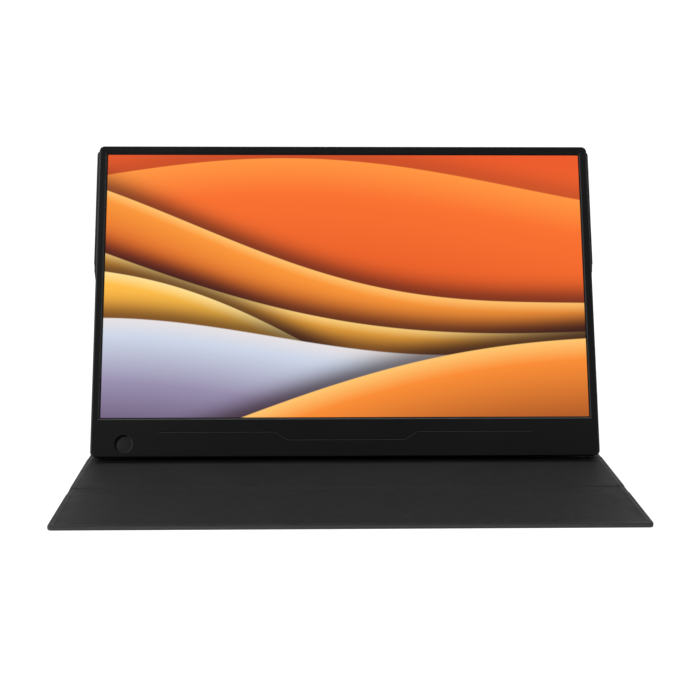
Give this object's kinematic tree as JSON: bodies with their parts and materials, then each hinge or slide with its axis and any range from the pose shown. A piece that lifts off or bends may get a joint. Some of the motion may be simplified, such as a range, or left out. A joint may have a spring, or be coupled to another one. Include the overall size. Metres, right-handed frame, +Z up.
{
  "type": "portable monitor with cover",
  "caption": "Slim portable monitor leaning on its folding leather cover, whose back folds into a prop leg and whose front lies flat with grooves for the lower edge.",
  "frame": {"origin": "on the table, at the middle of the cover's footprint", "axes": "+X across the screen to the viewer's right, -Y towards the viewer, +Z up"},
  "size_m": [0.3622, 0.2474, 0.2158],
  "materials": {
    "case_plastic": "fine satin moulded",
    "key_plastic": "satin",
    "screen_glass": "lit display with a semi-gloss polariser, emissive",
    "foam_tape": "matt black foam",
    "white_film": "matt white film",
    "clear_plastic": "clear acrylic",
    "led_strip": "white strip with LEDs",
    "tinned_steel": "stamped steel",
    "circuit_board": "green solder mask",
    "flex_film": "polyimide film",
    "black_plastic": "moulded black",
    "magnet_metal": "nickel plated magnet",
    "cover_skin": "fine-grained synthetic leather",
    "cover_lining": "smooth fine-grained lining",
    "stiff_board": "grey board"
  },
  "bodies": {
    "base": {"base_skin": "cover_skin", "base_lining": "cover_lining", "rear_board": "stiff_board", "middle_board": "stiff_board", "spine_board": "stiff_board"},
    "flap": {"flap_skin": "cover_skin", "flap_board": "stiff_board", "flap_lining": "cover_lining", "flap_magnets": "magnet_metal"},
    "leg": {"leg_skin": "cover_skin", "leg_board": "stiff_board", "leg_lining": "cover_lining", "apex_fold": "cover_skin", "rear_fold_roll": "cover_skin"},
    "back_panel": {"back_panel_skin": "cover_skin", "back_panel_board": "stiff_board", "back_panel_lining": "cover_lining", "back_panel_magnets": "magnet_metal"},
    "monitor": {"front_bezel": "case_plastic", "rear_shell": "case_plastic", "window_tape": "foam_tape", "lcd_cell": "screen_glass", "optical_sheets": "white_film", "light_guide": "clear_plastic", "reflector": "white_film", "led_bar": "led_strip", "panel_chassis": "tinned_steel", "panel_board": "circuit_board", "panel_flex": "flex_film", "main_board": "circuit_board", "board_shield": "tinned_steel", "display_cable": "flex_film", "key_board": "circuit_board", "key_switches": "black_plastic", "key_cable": "flex_film", "usb_c_port_lower": "tinned_steel", "usb_c_port_upper": "tinned_steel", "mini_hdmi_port": "tinned_steel", "audio_jack": "black_plastic", "left_speaker": "black_plastic", "right_speaker": "black_plastic", "shell_magnets": "magnet_metal", "case_screws": "tinned_steel", "board_screws": "tinned_steel"},
    "power_key": {"power_key": "key_plastic"},
    "menu_key": {"menu_key": "key_plastic"},
    "plus_key": {"plus_key": "key_plastic"},
    "minus_key": {"minus_key": "key_plastic"},
    "input_key": {"input_key": "key_plastic"}
  },
  "joints": [
    {"name": "leg_tilt", "type": "hinge", "parent": "base", "child": "leg", "pos_m": [0, 0.12252, 0.0029], "axis": [-1, 0, 0], "range_deg": [-19.43, 22]},
    {"name": "apex_fold_turn", "type": "hinge", "parent": "leg", "child": "back_panel", "pos_m": [0, 0.0688, 0.13057], "axis": [-1, 0, 0], "range_deg": [-44, 38.86]},
    {"name": "flap_fold", "type": "hinge", "parent": "base", "child": "flap", "pos_m": [0, -0.05722, 0.00115], "axis": [-1, 0, 0], "range_deg": [0, 115]},
    {"name": "monitor_release", "type": "slide", "parent": "back_panel", "child": "monitor", "axis": [0, -0.9259, 0.3778], "range_m": [0, 0.03]},
    {"name": "power_key_press", "type": "slide", "parent": "monitor", "child": "power_key", "axis": [-1, 0, 0], "range_m": [0, 0.0004], "stiffness_N_per_m": 500, "springref_m": -0.0002},
    {"name": "menu_key_press", "type": "slide", "parent": "monitor", "child": "menu_key", "axis": [-1, 0, 0], "range_m": [0, 0.0004], "stiffness_N_per_m": 500, "springref_m": -0.0002},
    {"name": "plus_key_press", "type": "slide", "parent": "monitor", "child": "plus_key", "axis": [-1, 0, 0], "range_m": [0, 0.0004], "stiffness_N_per_m": 500, "springref_m": -0.0002},
    {"name": "minus_key_press", "type": "slide", "parent": "monitor", "child": "minus_key", "axis": [-1, 0, 0], "range_m": [0, 0.0004], "stiffness_N_per_m": 500, "springref_m": -0.0002},
    {"name": "input_key_press", "type": "slide", "parent": "monitor", "child": "input_key", "axis": [-1, 0, 0], "range_m": [0, 0.0004], "stiffness_N_per_m": 500, "springref_m": -0.0002}
  ],
  "couplings": [
    {"joint": "apex_fold_turn", "follows": "leg_tilt", "ratio": -2}
  ]
}
